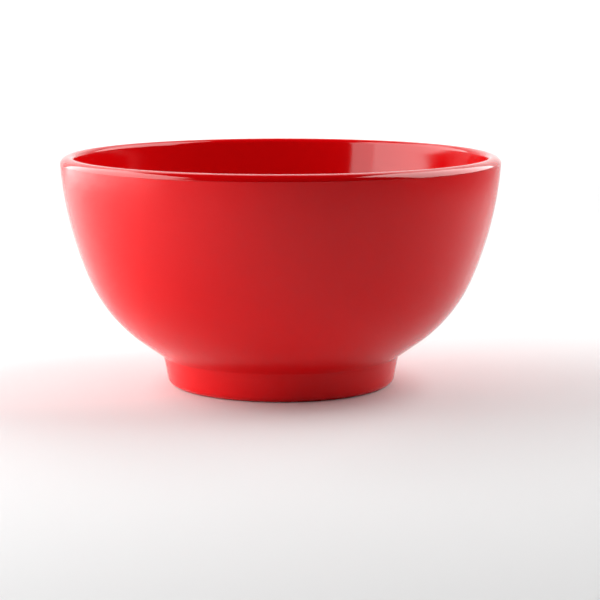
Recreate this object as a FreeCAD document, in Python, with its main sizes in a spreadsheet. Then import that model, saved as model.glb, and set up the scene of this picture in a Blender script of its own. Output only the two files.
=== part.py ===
import FreeCAD, Part
import math
import os
import Sketcher
from FreeCAD import Vector

# Rice bowl pressed in two layers: a satin outer shell that carries the foot ring, and a glossy inner
# liner that carries the whole lip. Both are turned about Z. The origin is the centre of the foot's
# resting plane, so the bowl stands on Z = 0. Lengths are millimetres, angles are degrees.
DIMENSIONS = {
    "outer_radius": 57.5,          # the lip's widest circle
    "overall_height": 60.15,       # top of the lip
    "lip_base_height": 58.4,       # where the liner's lip sits on the shell
    "lip_overhang": 0.1,           # how far the lip stands proud of the shell
    "lip_top_radius": 55.1,        # circle along the crest of the lip
    "shell_thickness": 2.1,
    "liner_thickness": 1.5,
    "neck_radius": 31.1,           # crease between foot and belly
    "neck_height": 7.6,
    "neck_slope": 35.5,            # slope of the belly where it leaves the foot
    "belly_sweep": 32.0,           # angle turned by the tight lower curve
    "upper_sweep": 18.5,           # angle turned by the slow upper curve
    "belly_radius": 38.6,
    "floor_blend": 20.0,           # inner curve between the flat well floor and the wall
    "foot_radius": 29.7,           # foot ring's outer wall, carried down to Z = 0
    "foot_inner_radius": 25.6,     # foot ring's inner wall at Z = 0
    "recess_top_radius": 25.0,     # the same wall where it meets the underside
    "recess_depth": 4.5,           # underside of the base above the table
    "foot_round": 2.0,             # the foot's outer bottom edge
    "foot_inner_round": 0.8,       # the foot's inner bottom edge
    "recess_round": 1.5,           # corner inside the recess
    "neck_round": 1.0,             # crease between foot and belly
}
START, END, CENTRE = 1, 2, 3       # point numbers on a sketch's lines and arcs
ORIGIN = (-1, 1)                   # a sketch's own origin
X_AXIS, Y_AXIS = -1, -2            # a sketch's own axes


def make_sheet(doc):
    """The driving dimensions, one row each: name, value."""
    sheet = doc.addObject("Spreadsheet::Sheet", "Dimensions")
    for row, (name, value) in enumerate(DIMENSIONS.items(), start=1):
        sheet.set(f"A{row}", name)
        sheet.set(f"B{row}", str(value))
        sheet.setAlias(f"B{row}", name)
    doc.recompute()
    return sheet


def on_slope(angle):
    """Unit vector that climbs outward at this slope."""
    return Vector(math.cos(math.radians(angle)), math.sin(math.radians(angle)), 0)


def normal_to(angle):
    """Unit vector from the wall towards the inside of the bowl, where the wall has this slope."""
    return Vector(-math.sin(math.radians(angle)), math.cos(math.radians(angle)), 0)


class Wall:
    """The outer wall's own geometry: a cone off the neck, a tight curve and a slow one, all tangent."""

    def __init__(self, sheet):
        self.slopes = [sheet.neck_slope, sheet.neck_slope + sheet.belly_sweep]
        self.slopes.append(self.slopes[1] + sheet.upper_sweep)
        low, middle, high = self.slopes
        self.neck = Vector(sheet.neck_radius, sheet.neck_height, 0)
        rim = Vector(sheet.outer_radius - sheet.lip_overhang, sheet.lip_base_height, 0)
        self.belly_radius = sheet.belly_radius
        gap = rim - self.neck - (normal_to(low) - normal_to(middle)) * self.belly_radius
        along, across = on_slope(low), normal_to(middle) - normal_to(high)
        area = along.x * across.y - along.y * across.x
        self.cone_run = (gap.x * across.y - gap.y * across.x) / area
        self.upper_radius = (along.x * gap.y - along.y * gap.x) / area
        self.belly_centre = self.neck + along * self.cone_run + normal_to(low) * self.belly_radius
        self.upper_centre = self.belly_centre + normal_to(middle) * (self.upper_radius - self.belly_radius)

    def at(self, slope, inset):
        """Point on the curved wall where it has this slope, moved towards the inside."""
        upper = slope > self.slopes[1]
        centre = self.upper_centre if upper else self.belly_centre
        radius = self.upper_radius if upper else self.belly_radius
        return centre - normal_to(slope) * (radius - inset)

    def slope_at_height(self, height, inset):
        drop = (self.upper_centre.y - height) / (self.upper_radius - inset)
        return math.degrees(math.acos(drop))


class Profile:
    """A sketch of half a section, in the body's XZ plane: X is the radius and Y is the height."""

    def __init__(self, body, name):
        self.sketch = body.newObject("Sketcher::SketchObject", name)
        plane = next(f for f in body.Origin.OriginFeatures if f.Role == "XZ_Plane")
        self.sketch.AttachmentSupport = [(plane, "")]
        self.sketch.MapMode = "FlatFace"

    def line(self, start, end, construction=False):
        return self.sketch.addGeometry(Part.LineSegment(start, end), construction)

    def arc(self, centre, start, end, construction=False):
        """Arc from start to end, turning anticlockwise about the centre."""
        radius = (start - centre).Length
        angles = [math.atan2(p.y - centre.y, p.x - centre.x) for p in (start, end)]
        circle = Part.Circle(centre, Vector(0, 0, 1), radius)
        return self.sketch.addGeometry(Part.ArcOfCircle(circle, *angles), construction)

    def fix(self, *constraint):
        return self.sketch.addConstraint(Sketcher.Constraint(*constraint))

    def size(self, expression, kind, *rest):
        """A dimension bound to the sheet."""
        index = self.fix(kind, *rest)
        self.sketch.setExpression(f"Constraints[{index}]", expression)

    def place(self, point, radius=None, height=None, values=(0, 0)):
        """Holds a point at a radius and a height, each bound to the sheet where given."""
        if radius:
            self.size(radius, "DistanceX", *ORIGIN, *point, values[0])
        if height:
            self.size(height, "DistanceY", *ORIGIN, *point, values[1])


def cell(name):
    return f"Dimensions.{name}"


def draw_outer_wall(profile, sheet, wall, construction):
    """Cone, belly curve and upper curve of the outside, from the neck to the lip's base."""
    cone_end, join, rim = [wall.at(slope, 0) for slope in wall.slopes]
    cone = profile.line(wall.neck, cone_end, construction)
    belly = profile.arc(wall.belly_centre, cone_end, join, construction)
    upper = profile.arc(wall.upper_centre, join, rim, construction)
    profile.fix("Tangent", cone, END, belly, START)
    profile.fix("Tangent", belly, END, upper, START)
    profile.place((cone, START), cell("neck_radius"), cell("neck_height"), (wall.neck.x, wall.neck.y))
    profile.size(cell("neck_slope"), "Angle", cone, math.radians(sheet.neck_slope))
    profile.size(cell("belly_radius"), "Radius", belly, wall.belly_radius)
    profile.size(cell("belly_sweep"), "Angle", belly, math.radians(sheet.belly_sweep))
    rim_radius = f"{cell('outer_radius')} - {cell('lip_overhang')}"
    profile.place((upper, END), rim_radius, cell("lip_base_height"), (rim.x, rim.y))
    profile.size(cell("upper_sweep"), "Angle", upper, math.radians(sheet.upper_sweep))
    return cone, belly, upper


def draw_inset_wall(profile, sheet, wall, outer, inset, inset_words, top):
    """The outer wall moved inward, then a blend to a flat floor that ends on the axis."""
    outer_cone, outer_belly, outer_upper = outer
    low, middle, _ = wall.slopes
    floor_height = sheet.recess_depth + inset
    total = sheet.shell_thickness + sheet.liner_thickness
    blend = sheet.floor_blend + total - inset
    upper_join = wall.at(middle, inset)
    cone_top = wall.at(low, inset)
    blend_rise = blend * (1 - math.cos(math.radians(low)))
    cone_low = cone_top - on_slope(low) * ((cone_top.y - floor_height - blend_rise) / on_slope(low).y)
    blend_centre = cone_low + normal_to(low) * blend
    floor_edge = Vector(blend_centre.x, floor_height, 0)
    upper = profile.arc(wall.upper_centre, upper_join, top)
    belly = profile.arc(wall.belly_centre, cone_top, upper_join)
    cone = profile.line(cone_low, cone_top)
    corner = profile.arc(blend_centre, floor_edge, cone_low)
    floor = profile.line(Vector(0, floor_height, 0), floor_edge)
    profile.fix("Coincident", upper, CENTRE, outer_upper, CENTRE)
    profile.fix("Coincident", belly, CENTRE, outer_belly, CENTRE)
    profile.size(f"{cell('belly_radius')} - ({inset_words})", "Radius", belly, wall.belly_radius - inset)
    profile.fix("Tangent", upper, START, belly, END)
    profile.fix("Tangent", belly, START, cone, END)
    profile.fix("Parallel", cone, outer_cone)
    profile.fix("Tangent", cone, START, corner, END)
    profile.fix("Tangent", corner, START, floor, END)
    profile.fix("Horizontal", floor)
    profile.fix("PointOnObject", floor, START, Y_AXIS)
    profile.place((floor, START), height=f"{cell('recess_depth')} + {inset_words}", values=(0, floor_height))
    blend_words = f"{cell('floor_blend')} + {cell('shell_thickness')} + {cell('liner_thickness')}"
    profile.size(f"{blend_words} - ({inset_words})", "Radius", corner, blend)
    return upper, floor


def spin(body, profile, kind, name):
    """Full turn of a section about the bowl's axis, added to the body or, as a groove, cut from it."""
    feature = body.newObject(kind, name)
    feature.Profile = profile.sketch
    feature.ReferenceAxis = (profile.sketch, ["V_Axis"])
    feature.Angle = 360
    body.Document.recompute()
    return feature


def round_edge(body, name, radius, height, size_cell):
    """Fillet on the circular edge of this radius at this height."""
    base = body.Tip
    edges = []
    for number, edge in enumerate(base.Shape.Edges, start=1):
        circle = edge.Curve
        if not isinstance(circle, Part.Circle):
            continue
        if abs(circle.Radius - radius) < 0.01 and abs(circle.Center.z - height) < 0.01:
            edges.append(f"Edge{number}")
    fillet = body.newObject("PartDesign::Fillet", name)
    fillet.Base = (base, edges)
    fillet.setExpression("Radius", cell(size_cell))
    body.Document.recompute()


def make_outer_shell(doc, sheet, wall):
    body = doc.addObject("PartDesign::Body", "OuterShell")
    body.Label = "outer_shell"
    profile = Profile(body, "ShellSection")
    outer = draw_outer_wall(profile, sheet, wall, False)
    cone, _, outer_upper = outer
    inset = sheet.shell_thickness
    seam = wall.at(wall.slope_at_height(sheet.lip_base_height, inset), inset)
    inner_upper, floor = draw_inset_wall(profile, sheet, wall, outer, inset, cell("shell_thickness"), seam)
    foot_corner = Vector(sheet.foot_radius, 0, 0)
    base = profile.line(Vector(0, 0, 0), foot_corner)
    foot = profile.line(foot_corner, wall.neck)
    ledge = profile.line(wall.at(wall.slopes[2], 0), seam)
    axis = profile.line(Vector(0, 0, 0), Vector(0, sheet.recess_depth + inset, 0))
    profile.fix("Coincident", base, START, *ORIGIN)
    profile.fix("PointOnObject", base, END, X_AXIS)
    profile.place((base, END), cell("foot_radius"), values=(sheet.foot_radius, 0))
    profile.fix("Coincident", base, END, foot, START)
    profile.fix("Coincident", foot, END, cone, START)
    profile.fix("Coincident", outer_upper, END, ledge, START)
    profile.fix("Horizontal", ledge)
    profile.fix("Coincident", ledge, END, inner_upper, END)
    profile.fix("Coincident", axis, START, base, START)
    profile.fix("Coincident", axis, END, floor, START)
    spin(body, profile, "PartDesign::Revolution", "ShellWall")
    cut_foot_recess(body, sheet)
    round_edge(body, "NeckRound", sheet.neck_radius, sheet.neck_height, "neck_round")
    round_edge(body, "FootRound", sheet.foot_radius, 0, "foot_round")
    round_edge(body, "FootInnerRound", sheet.foot_inner_radius, 0, "foot_inner_round")
    round_edge(body, "RecessRound", sheet.recess_top_radius, sheet.recess_depth, "recess_round")
    return body


def cut_foot_recess(body, sheet):
    """Hollow under the base, inside the foot ring."""
    profile = Profile(body, "RecessSection")
    corners = [Vector(0, 0, 0), Vector(sheet.foot_inner_radius, 0, 0)]
    corners.append(Vector(sheet.recess_top_radius, sheet.recess_depth, 0))
    corners.append(Vector(0, sheet.recess_depth, 0))
    mouth, side, ceiling, axis = [
        profile.line(start, end) for start, end in zip(corners, corners[1:] + corners[:1])
    ]
    for first, second in ((mouth, side), (side, ceiling), (ceiling, axis), (axis, mouth)):
        profile.fix("Coincident", first, END, second, START)
    profile.fix("Coincident", mouth, START, *ORIGIN)
    profile.fix("Horizontal", mouth)
    profile.fix("Horizontal", ceiling)
    profile.fix("Vertical", axis)
    profile.place((mouth, END), cell("foot_inner_radius"), values=(corners[1].x, 0))
    profile.place((side, END), cell("recess_top_radius"), cell("recess_depth"), (corners[2].x, corners[2].y))
    before = body.Tip.Shape.Volume
    groove = spin(body, profile, "PartDesign::Groove", "FootRecess")
    assert groove.Shape.Volume < before - 1, "the foot recess cut nothing"


def make_inner_liner(doc, sheet, wall):
    body = doc.addObject("PartDesign::Body", "InnerLiner")
    body.Label = "inner_liner"
    profile = Profile(body, "LinerSection")
    outer = draw_outer_wall(profile, sheet, wall, True)
    seam_inset = sheet.shell_thickness
    seam = wall.at(wall.slope_at_height(sheet.lip_base_height, seam_inset), seam_inset)
    back_words = cell("shell_thickness")
    back_upper, back_floor = draw_inset_wall(profile, sheet, wall, outer, seam_inset, back_words, seam)
    inset = seam_inset + sheet.liner_thickness
    lip_start = wall.at(wall.slope_at_height(sheet.lip_base_height, inset), inset)
    face_words = f"{cell('shell_thickness')} + {cell('liner_thickness')}"
    face_upper, face_floor = draw_inset_wall(profile, sheet, wall, outer, inset, face_words, lip_start)
    draw_lip(profile, sheet, seam, lip_start, back_upper, face_upper)
    back_centre = Vector(0, sheet.recess_depth + seam_inset, 0)
    face_centre = Vector(0, sheet.recess_depth + inset, 0)
    axis = profile.line(back_centre, face_centre)
    profile.fix("Coincident", axis, START, back_floor, START)
    profile.fix("Coincident", axis, END, face_floor, START)
    spin(body, profile, "PartDesign::Revolution", "LinerWall")
    return body


def draw_lip(profile, sheet, seam, lip_start, back_upper, face_upper):
    """Ledge on the shell, convex bevel up to the crest, and a round back into the inner wall."""
    base = Vector(sheet.outer_radius, sheet.lip_base_height, 0)
    crest = Vector(sheet.lip_top_radius, sheet.overall_height, 0)
    reach, rise = base.x - crest.x, crest.y - base.y
    bevel_radius = (reach ** 2 + rise ** 2) / (2 * rise)
    inner_radius = crest.x - lip_start.x
    ledge = profile.line(seam, base)
    bevel = profile.arc(crest - Vector(0, bevel_radius, 0), base, crest)
    inner = profile.arc(crest - Vector(0, inner_radius, 0), crest, lip_start)
    profile.fix("Coincident", ledge, START, back_upper, END)
    profile.fix("Horizontal", ledge)
    profile.place((ledge, END), cell("outer_radius"), cell("lip_base_height"), (base.x, base.y))
    profile.fix("Coincident", ledge, END, bevel, START)
    profile.place((bevel, END), cell("lip_top_radius"), cell("overall_height"), (crest.x, crest.y))
    profile.fix("Vertical", bevel, END, bevel, CENTRE)
    profile.fix("Tangent", bevel, END, inner, START)
    profile.fix("Tangent", inner, END, face_upper, END)


def check(doc, bodies):
    """Stops if anything failed, or if a section is not fully held by its dimensions."""
    for item in doc.Objects:
        bad = {"Invalid", "Error"} & set(item.State)
        assert not bad, f"{item.Name} is {bad}"
        if item.TypeId == "Sketcher::SketchObject":
            assert item.solve() == 0, f"{item.Name} does not solve"
            assert item.FullyConstrained, f"{item.Name} is loose"
    for body in bodies:
        assert not body.Shape.isNull(), f"{body.Label} is empty"
        assert body.Shape.isValid(), f"{body.Label} is not valid"
        assert len(body.Shape.Solids) == 1, f"{body.Label} is not one solid"


def main():
    doc = FreeCAD.newDocument("RiceBowl")
    sheet = make_sheet(doc)
    wall = Wall(sheet)
    bodies = [make_outer_shell(doc, sheet, wall), make_inner_liner(doc, sheet, wall)]
    doc.recompute()
    check(doc, bodies)
    os.makedirs("parts", exist_ok=True)
    for body in bodies:
        body.Shape.exportStep(f"parts/{body.Label}.step")
        box = body.Shape.optimalBoundingBox(False, False)
        print(f"{body.Label}: {body.Shape.Volume:.0f} mm3, Z {box.ZMin:.2f} to {box.ZMax:.2f}, "
              f"X {box.XMin:.2f} to {box.XMax:.2f}")


main()
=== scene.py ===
import math
import bpy
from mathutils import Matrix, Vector


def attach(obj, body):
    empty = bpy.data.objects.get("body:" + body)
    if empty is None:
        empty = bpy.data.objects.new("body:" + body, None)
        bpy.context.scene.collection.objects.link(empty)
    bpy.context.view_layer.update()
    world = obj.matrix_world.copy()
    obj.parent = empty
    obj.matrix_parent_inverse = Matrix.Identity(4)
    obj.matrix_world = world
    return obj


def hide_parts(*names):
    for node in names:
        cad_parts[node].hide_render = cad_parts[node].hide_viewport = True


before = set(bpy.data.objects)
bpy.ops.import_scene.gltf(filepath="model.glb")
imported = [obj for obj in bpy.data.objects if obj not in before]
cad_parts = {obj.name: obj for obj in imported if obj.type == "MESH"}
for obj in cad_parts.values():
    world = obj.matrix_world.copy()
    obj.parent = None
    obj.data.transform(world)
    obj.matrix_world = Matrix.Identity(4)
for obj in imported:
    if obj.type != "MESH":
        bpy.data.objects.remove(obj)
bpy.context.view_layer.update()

# The bowl's section in metres and degrees, as the CAD part has it.
OUTER_RADIUS = 0.0575
OVERALL_HEIGHT = 0.06015
LIP_BASE_HEIGHT = 0.0584
LIP_OVERHANG = 0.0001
LIP_TOP_RADIUS = 0.0551
LIP_EDGE_ROUND = 0.00008           # softens the lip's outer lower edge
SHELL_THICKNESS = 0.0021
LINER_THICKNESS = 0.0015
NECK = Vector((0.0311, 0.0076))
NECK_SLOPE = 35.5
BELLY_SWEEP = 32.0
UPPER_SWEEP = 18.5
BELLY_RADIUS = 0.0386
FLOOR_BLEND = 0.020
FOOT_RADIUS = 0.0297
FOOT_INNER_RADIUS = 0.0256
RECESS_TOP_RADIUS = 0.025
RECESS_DEPTH = 0.0045
FOOT_ROUND = 0.002
FOOT_INNER_ROUND = 0.0008
RECESS_ROUND = 0.0015
NECK_ROUND = 0.001

# Mesh fineness.
TURN_SEGMENTS = 240
WALL_STEP = math.radians(1.25)     # largest turn between rings on the wall's curves
ROUND_STEPS = 9
LIP_STEPS = 30
LONGEST_RUN = 0.004                # largest gap between rings on straight runs
SHARP_EDGE = math.radians(35)

# Colours, roughness ranges and textures. A texture's size is features in a metre, and a relief is in metres.
# A spread is the part of a texture's range in which its effect grows from least to most.
CLOUD_SPREAD = 0.3, 0.7
SATIN_REDS = (0.77, 0.0025, 0.005, 1), (0.8, 0.0031, 0.0062, 1)
SATIN_SHEEN = 0.16, 0.2
SATIN_SPECULAR = 0.28
SATIN_CLOUDS = 70.0
SATIN_GRAIN = 2200.0
SATIN_GRAIN_RELIEF = 0.00002
SATIN_PEEL = 450.0
SATIN_PEEL_RELIEF = 0.00004
FOOT_WEAR = 420.0
FOOT_WEAR_SPREAD = 0.42, 0.62
LEAST_FOOT_WEAR = 0.15
FOOT_WEAR_RELIEF = 0.00001
FOOT_WEAR_FADE = 0.0001, 0.0007    # heights between which the wear dies away
FOOT_SCRATCHES = 15.0, 70.0, 128.0  # directions in degrees, as the well's are
WORN_RED = 0.74, 0.16, 0.16, 1
WORN_SHARE = 0.25                  # how far full wear goes towards that red
WORN_ROUGHNESS = 0.25              # what full wear adds to the roughness
GLOSS_REDS = (0.6, 0.0006, 0.002, 1), (0.62, 0.0008, 0.0024, 1)
GLOSS_SHEEN = 0.07, 0.09
GLOSS_CLOUDS = 55.0
GLOSS_WAVES = 45.0
GLOSS_WAVE_RELIEF = 0.000018
WELL_FADE = 0.009, 0.02            # heights between which the hairlines die away
WELL_SCRATCHES = 8.0, 52.0, 97.0, 146.0
WELL_SCRATCH_RELIEF = -0.000004
SCRATCHES = 260.0
SCRATCH_STRETCH = 9.0, 1.0, 1.0    # how much narrower than long a scratch is
SCRATCH_SPREAD = 0.69, 0.73
SCRATCH_ROUGHNESS = 0.12           # what a scratch adds to the roughness
FLOOR_WHITE = 0.73
FLOOR_ROUGHNESS = 0.8

# Soft boxes: two corners that give each one's size and middle, the way it faces, and how bright its face is.
SOFT_BOXES = {
    "left_softbox": ((-0.3, -0.17, 0.0), (-0.3, 0.36, 0.5), (1, 0, 0), 4.4),
    "left_fill": ((-0.3, -0.3, 0.04), (-0.3, -0.17, 0.32), (1, 0, 0), 2.9),
    "right_softbox": ((0.3, -0.1, 0.13), (0.3, 0.36, 0.75), (-1, 0, 0), 4.5),
    "back_softbox": ((-1.0, 1.18, 1.0), (1.0, 1.18, 1.6), (0, -1, 0), 1.6),
    "wall_light": ((-0.9, 0.6, 0.5), (0.9, 0.6, 0.9), (0, 1, -0.5), 6.5),
}
ROOM_LIGHT = 0.015

# Camera: a long lens a little above the rim, aimed slightly right of the bowl and below its middle.
CAMERA_PLACE = Vector((0.0, -0.546, 0.1065))
CAMERA_LENS = 125.5
CAMERA_SENSOR = 36.0
CAMERA_TILT = math.radians(8.83)
CAMERA_TURN = math.radians(0.526)


def arc(centre, start, end, steps):
    """Points after start along the short arc about this centre, the last of them being end."""
    first, last = start - centre, end - centre
    turn = first.angle(last)
    points = []
    for step in range(1, steps + 1):
        part = step / steps
        weights = math.sin((1 - part) * turn), math.sin(part * turn)
        points.append(centre + (first * weights[0] + last * weights[1]) / math.sin(turn))
    return points


def wall_arc(centre, start, end):
    turn = (start - centre).angle(end - centre)
    return arc(centre, start, end, math.ceil(turn / WALL_STEP))


def rounded(corners):
    """A line through these corners, each given as its point and the radius of its round."""
    points = [corners[0][0]]
    for before, (corner, radius), after in zip(corners, corners[1:], corners[2:]):
        back = (before[0] - corner).normalized()
        ahead = (after[0] - corner).normalized()
        half = back.angle(ahead) / 2
        run = radius / math.tan(half)
        centre = corner + (back + ahead).normalized() * radius / math.sin(half)
        start = corner + back * run
        points.append(start)
        points += arc(centre, start, corner + ahead * run, ROUND_STEPS)
    points.append(corners[-1][0])
    return points


def on_slope(slope):
    """Unit vector that climbs outward at this slope."""
    return Vector((math.cos(math.radians(slope)), math.sin(math.radians(slope))))


def normal_to(slope):
    """Unit vector from the wall towards the inside of the bowl, where the wall has this slope."""
    return Vector((-math.sin(math.radians(slope)), math.cos(math.radians(slope))))


class Wall:
    """The wall's curves: a cone off the neck, a tight curve and a slow one, all tangent."""

    def __init__(self):
        self.low = NECK_SLOPE
        self.middle = NECK_SLOPE + BELLY_SWEEP
        self.high = NECK_SLOPE + BELLY_SWEEP + UPPER_SWEEP
        self.rim = Vector((OUTER_RADIUS - LIP_OVERHANG, LIP_BASE_HEIGHT))
        gap = self.rim - NECK - (normal_to(self.low) - normal_to(self.middle)) * BELLY_RADIUS
        along, across = on_slope(self.low), normal_to(self.middle) - normal_to(self.high)
        area = along.x * across.y - along.y * across.x
        cone_run = (gap.x * across.y - gap.y * across.x) / area
        self.upper_radius = (along.x * gap.y - along.y * gap.x) / area
        self.belly_centre = NECK + along * cone_run + normal_to(self.low) * BELLY_RADIUS
        self.upper_centre = self.belly_centre + normal_to(self.middle) * (self.upper_radius - BELLY_RADIUS)

    def curves(self, inset, top):
        """The two curves moved inward, from the end of the cone up to the point top."""
        start = self.belly_centre - normal_to(self.low) * (BELLY_RADIUS - inset)
        join = self.belly_centre - normal_to(self.middle) * (BELLY_RADIUS - inset)
        return [start] + wall_arc(self.belly_centre, start, join) + wall_arc(self.upper_centre, join, top)

    def seam(self):
        """Inner end of the ledge on which the lip sits."""
        radius = self.upper_radius - SHELL_THICKNESS
        drop = self.upper_centre.y - LIP_BASE_HEIGHT
        return Vector((self.upper_centre.x + math.sqrt(radius ** 2 - drop ** 2), LIP_BASE_HEIGHT))

    def inside(self, inset, top):
        """The face this far in from the outside, from the axis along the floor and up to the point top."""
        curves = self.curves(inset, top)
        floor = RECESS_DEPTH + inset
        blend = FLOOR_BLEND + SHELL_THICKNESS + LINER_THICKNESS - inset
        rise = floor + blend * (1 - math.cos(math.radians(self.low)))
        cone_low = curves[0] - on_slope(self.low) * (curves[0].y - rise) / on_slope(self.low).y
        centre = cone_low + normal_to(self.low) * blend
        floor_edge = Vector((centre.x, floor))
        return [Vector((0, floor)), floor_edge] + wall_arc(centre, floor_edge, cone_low) + curves


def shell_section(wall):
    """Underside, foot ring, outside, ledge under the lip and the face against the liner."""
    outside = wall.curves(0, wall.rim)
    corners = [(Vector((0, RECESS_DEPTH)), 0), (Vector((RECESS_TOP_RADIUS, RECESS_DEPTH)), RECESS_ROUND)]
    corners.append((Vector((FOOT_INNER_RADIUS, 0)), FOOT_INNER_ROUND))
    corners.append((Vector((FOOT_RADIUS, 0)), FOOT_ROUND))
    corners.append((NECK, NECK_ROUND))
    corners.append((outside[0], 0))
    back = wall.inside(SHELL_THICKNESS, wall.seam())
    return rounded(corners) + outside[1:] + back[::-1]


def liner_section(wall):
    """The face against the shell, the lip, and the food side down to the axis."""
    total = SHELL_THICKNESS + LINER_THICKNESS
    back = wall.inside(SHELL_THICKNESS, wall.seam())
    crest = Vector((LIP_TOP_RADIUS, OVERALL_HEIGHT))
    reach, rise = OUTER_RADIUS - crest.x, crest.y - LIP_BASE_HEIGHT
    bevel_centre = crest - Vector((0, (reach ** 2 + rise ** 2) / (2 * rise)))
    face_radius = wall.upper_radius - total
    to_crest = crest - wall.upper_centre
    inner_radius = (to_crest.length_squared - face_radius ** 2) / (2 * (face_radius + to_crest.y))
    inner_centre = crest - Vector((0, inner_radius))
    lip_start = wall.upper_centre.lerp(inner_centre, face_radius / (face_radius + inner_radius))
    food_side = wall.inside(total, lip_start)
    edge = Vector((OUTER_RADIUS, LIP_BASE_HEIGHT))
    tangent = Vector((bevel_centre.y - edge.y, edge.x - bevel_centre.x)).normalized()
    lip = rounded([(back[-1], 0), (edge, LIP_EDGE_ROUND), (edge + tangent * LIP_OVERHANG, 0)])[1:-1]
    lip += arc(bevel_centre, lip[-1], crest, LIP_STEPS)
    lip += arc(inner_centre, crest, lip_start, LIP_STEPS)
    return back + lip + food_side[-2::-1]


def even(points):
    """The same line with rings added wherever two of its points lie far apart."""
    filled = [points[0]]
    for start, end in zip(points, points[1:]):
        parts = max(1, math.ceil((end - start).length / LONGEST_RUN - 1e-6))
        filled += [start.lerp(end, part / parts) for part in range(1, parts + 1)]
    return filled


def lathe(name, section):
    """Full turn of a half section that starts and ends on the axis."""
    points = even(section)
    verts = [(0, 0, points[0].y), (0, 0, points[-1].y)]
    for point in points[1:-1]:
        for segment in range(TURN_SEGMENTS):
            angle = 2 * math.pi * segment / TURN_SEGMENTS
            verts.append((point.x * math.cos(angle), point.x * math.sin(angle), point.y))
    rings = len(points) - 2
    faces = []
    for segment in range(TURN_SEGMENTS):
        after = (segment + 1) % TURN_SEGMENTS
        last = 2 + (rings - 1) * TURN_SEGMENTS
        faces.append((0, 2 + after, 2 + segment))
        faces.append((1, last + segment, last + after))
        for ring in range(rings - 1):
            low = 2 + ring * TURN_SEGMENTS
            high = low + TURN_SEGMENTS
            faces.append((low + segment, low + after, high + after, high + segment))
    mesh = bpy.data.meshes.new(name)
    mesh.from_pydata(verts, [], faces)
    mesh.shade_smooth()
    mesh.set_sharp_from_angle(angle=SHARP_EDGE)
    piece = bpy.data.objects.new(name, mesh)
    bpy.context.scene.collection.objects.link(piece)
    return piece


def make_bowl():
    wall = Wall()
    shell = lathe("outer_shell_surface", shell_section(wall))
    liner = lathe("inner_liner_surface", liner_section(wall))
    for piece, node, slot, material in (
        (shell, "outer_shell", "satin_shell", satin_red()),
        (liner, "inner_liner", "gloss_liner", gloss_red()),
    ):
        piece.data.materials.append(material)
        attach(piece, "root")
        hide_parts(node)


def make_camera():
    data = bpy.data.cameras.new("Camera")
    data.lens = CAMERA_LENS
    data.sensor_width = CAMERA_SENSOR
    camera = bpy.data.objects.new("Camera", data)
    camera.location = CAMERA_PLACE
    camera.rotation_euler = (math.pi / 2 - CAMERA_TILT, 0.0, -CAMERA_TURN)
    bpy.context.scene.collection.objects.link(camera)
    bpy.context.scene.camera = camera


def cove_profile():
    """Depth and height along the cove: a flat floor, a round turn and a low back wall."""
    turn_start, turn_radius, wall_top, steps = 0.9, 0.3, 1.1, 12
    points = [(-3.0, 0.0)]
    for step in range(steps + 1):
        angle = math.pi / 2 * step / steps
        points.append((turn_start + turn_radius * math.sin(angle), turn_radius * (1 - math.cos(angle))))
    points.append((turn_start + turn_radius, wall_top))
    return points


def make_floor():
    half_width = 4.0
    profile = cove_profile()
    verts = [(side, depth, height) for depth, height in profile for side in (-half_width, half_width)]
    faces = [(2 * k, 2 * k + 1, 2 * k + 3, 2 * k + 2) for k in range(len(profile) - 1)]
    mesh = bpy.data.meshes.new("cove")
    mesh.from_pydata(verts, [], faces)
    mesh.shade_smooth()
    cove = bpy.data.objects.new("cove", mesh)
    bpy.context.scene.collection.objects.link(cove)
    material = bpy.data.materials.new("cove")
    material.use_nodes = True
    shader = material.node_tree.nodes["Principled BSDF"]
    shader.inputs["Base Color"].default_value = (FLOOR_WHITE, FLOOR_WHITE, FLOOR_WHITE, 1)
    shader.inputs["Roughness"].default_value = FLOOR_ROUGHNESS
    mesh.materials.append(material)


def make_panel(name, low, high, facing, radiance):
    """A soft box, as large as the upright rectangle between two corners, turned about its middle."""
    span = high - low
    data = bpy.data.lights.new(name, "AREA")
    data.shape = "RECTANGLE"
    data.size, data.size_y = max(span.x, span.y), span.z
    data.energy = radiance * math.pi * data.size * data.size_y
    light = bpy.data.objects.new(name, data)
    light.location = (low + high) / 2
    light.visible_camera = False
    light.rotation_euler = facing.to_track_quat("-Z", "Y").to_euler()
    bpy.context.scene.collection.objects.link(light)


def make_lights():
    """Soft boxes left, right and above the back wall, one more that lights the wall, and a dim room."""
    world = bpy.data.worlds.new("studio")
    world.use_nodes = True
    background = world.node_tree.nodes["Background"]
    background.inputs["Color"].default_value = (1, 1, 1, 1)
    background.inputs["Strength"].default_value = ROOM_LIGHT
    bpy.context.scene.world = world
    for name, (low, high, facing, radiance) in SOFT_BOXES.items():
        make_panel(name, Vector(low), Vector(high), Vector(facing), radiance)


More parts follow.
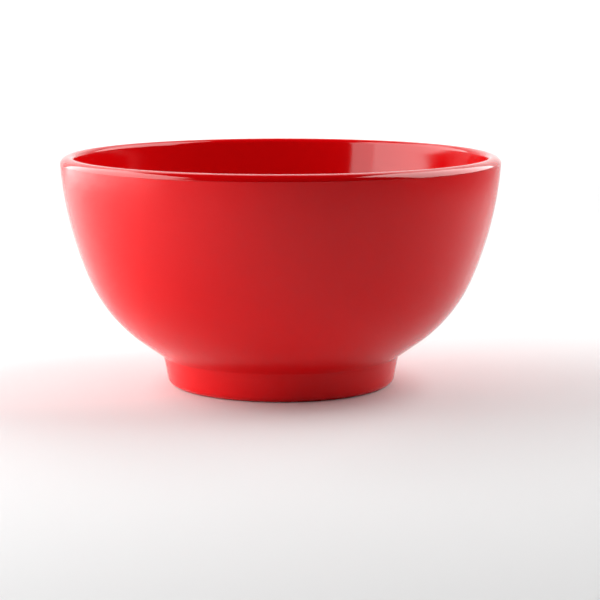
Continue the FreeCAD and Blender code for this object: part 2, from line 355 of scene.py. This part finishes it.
class Nodes:
    """A material's node tree, written one node at a time."""

    def __init__(self, name):
        self.material = bpy.data.materials.new(name)
        self.material.use_nodes = True
        self.tree = self.material.node_tree
        self.shader = self.tree.nodes["Principled BSDF"]
        self.place = self.add("ShaderNodeTexCoord").outputs["Object"]

    def add(self, kind, **values):
        node = self.tree.nodes.new(kind)
        for socket, value in values.items():
            self.put(node.inputs[socket], value)
        return node

    def put(self, socket, value):
        """Sets a socket, or links it where the value is another node's output."""
        if isinstance(value, bpy.types.NodeSocket):
            self.tree.links.new(value, socket)
        else:
            socket.default_value = value

    def math(self, operation, *values):
        node = self.add("ShaderNodeMath")
        node.operation = operation
        for socket, value in zip(node.inputs, values):
            self.put(socket, value)
        return node.outputs[0]

    def height(self):
        return self.add("ShaderNodeSeparateXYZ", Vector=self.place).outputs["Z"]

    def noise(self, place, scale, detail):
        """Cloudy texture between 0 and 1, with this many features in a metre."""
        return self.add("ShaderNodeTexNoise", Vector=place, Scale=scale, Detail=detail).outputs["Fac"]

    def ramp(self, value, start, end, low, high):
        """Value between start and end, spread smoothly between low and high and held there outside them."""
        node = self.add("ShaderNodeMapRange", Value=value)
        node.interpolation_type = "SMOOTHSTEP"
        for socket, setting in zip(node.inputs[1:5], (start, end, low, high)):
            self.put(socket, setting)
        return node.outputs[0]

    def mix(self, share, first, second):
        """This share of the second colour in the first. Sockets 6 and 7 are the node's colours."""
        node = self.add("ShaderNodeMix")
        node.data_type = "RGBA"
        self.put(node.inputs[0], share)
        self.put(node.inputs[6], first)
        self.put(node.inputs[7], second)
        return node.outputs[2]

    def stretched(self, factors, turn):
        """The object's coordinates, turned this many degrees about the axis and then scaled."""
        turned = self.add("ShaderNodeMapping", Vector=self.place, Rotation=(0, 0, math.radians(turn)))
        return self.add("ShaderNodeMapping", Vector=turned.outputs[0], Scale=factors).outputs[0]

    def bump(self, height, distance, below=None):
        """Fine relief this many metres deep, laid over another where one is given."""
        node = self.add("ShaderNodeBump", Height=height, Distance=distance, Strength=1.0)
        if below:
            self.put(node.inputs["Normal"], below)
        return node.outputs[0]


def fine_scratches(nodes, turns):
    """Share of hairline scratches, straight and thin, lying in each of these directions."""
    marks = 0.0
    for turn in turns:
        line = nodes.noise(nodes.stretched(SCRATCH_STRETCH, turn), SCRATCHES, detail=2.0)
        marks = nodes.math("MAXIMUM", marks, nodes.ramp(line, *SCRATCH_SPREAD, 0.0, 1.0))
    return marks


def foot_wear(nodes):
    """Share of wear on the foot's resting edge: cloudy scuffs with scratches across them."""
    resting = nodes.ramp(nodes.height(), *FOOT_WEAR_FADE, 1.0, 0.0)
    clouds = nodes.noise(nodes.place, FOOT_WEAR, detail=6.0)
    cloudy = nodes.ramp(clouds, *FOOT_WEAR_SPREAD, LEAST_FOOT_WEAR, 1.0)
    scuffs = nodes.math("MULTIPLY", resting, cloudy)
    scratches = nodes.math("MULTIPLY", resting, fine_scratches(nodes, FOOT_SCRATCHES))
    return nodes.math("MAXIMUM", scuffs, scratches)


def satin_red():
    """Satin melamine: a fine even grain, a little uneven in sheen, and scuffed where the foot rests."""
    nodes = Nodes("satin_shell")
    clouds = nodes.noise(nodes.place, SATIN_CLOUDS, detail=4.0)
    worn = foot_wear(nodes)
    colour = nodes.mix(nodes.math("MULTIPLY", worn, WORN_SHARE), nodes.mix(clouds, *SATIN_REDS), WORN_RED)
    sheen = nodes.ramp(clouds, *CLOUD_SPREAD, *SATIN_SHEEN)
    peel = nodes.bump(nodes.noise(nodes.place, SATIN_PEEL, detail=2.0), SATIN_PEEL_RELIEF)
    grain = nodes.bump(nodes.noise(nodes.place, SATIN_GRAIN, detail=2.0), SATIN_GRAIN_RELIEF, peel)
    rough = nodes.math("ADD", sheen, nodes.math("MULTIPLY", worn, WORN_ROUGHNESS))
    nodes.put(nodes.shader.inputs["Base Color"], colour)
    nodes.put(nodes.shader.inputs["Roughness"], rough)
    nodes.put(nodes.shader.inputs["Specular IOR Level"], SATIN_SPECULAR)
    nodes.put(nodes.shader.inputs["Normal"], nodes.bump(worn, FOOT_WEAR_RELIEF, grain))
    return nodes.material


def gloss_red():
    """Polished melamine: nearly a mirror, faintly wavy, with hairlines from use in the well."""
    nodes = Nodes("gloss_liner")
    clouds = nodes.noise(nodes.place, GLOSS_CLOUDS, detail=4.0)
    well = nodes.ramp(nodes.height(), *WELL_FADE, 1.0, 0.0)
    scratches = nodes.math("MULTIPLY", well, fine_scratches(nodes, WELL_SCRATCHES))
    sheen = nodes.ramp(clouds, *CLOUD_SPREAD, *GLOSS_SHEEN)
    waves = nodes.bump(nodes.noise(nodes.place, GLOSS_WAVES, detail=1.0), GLOSS_WAVE_RELIEF)
    rough = nodes.math("ADD", sheen, nodes.math("MULTIPLY", scratches, SCRATCH_ROUGHNESS))
    nodes.put(nodes.shader.inputs["Base Color"], nodes.mix(clouds, *GLOSS_REDS))
    nodes.put(nodes.shader.inputs["Roughness"], rough)
    nodes.put(nodes.shader.inputs["Normal"], nodes.bump(scratches, WELL_SCRATCH_RELIEF, waves))
    return nodes.material


make_camera()
make_floor()
make_lights()
make_bowl()
bpy.context.scene.view_settings.view_transform = "Standard"
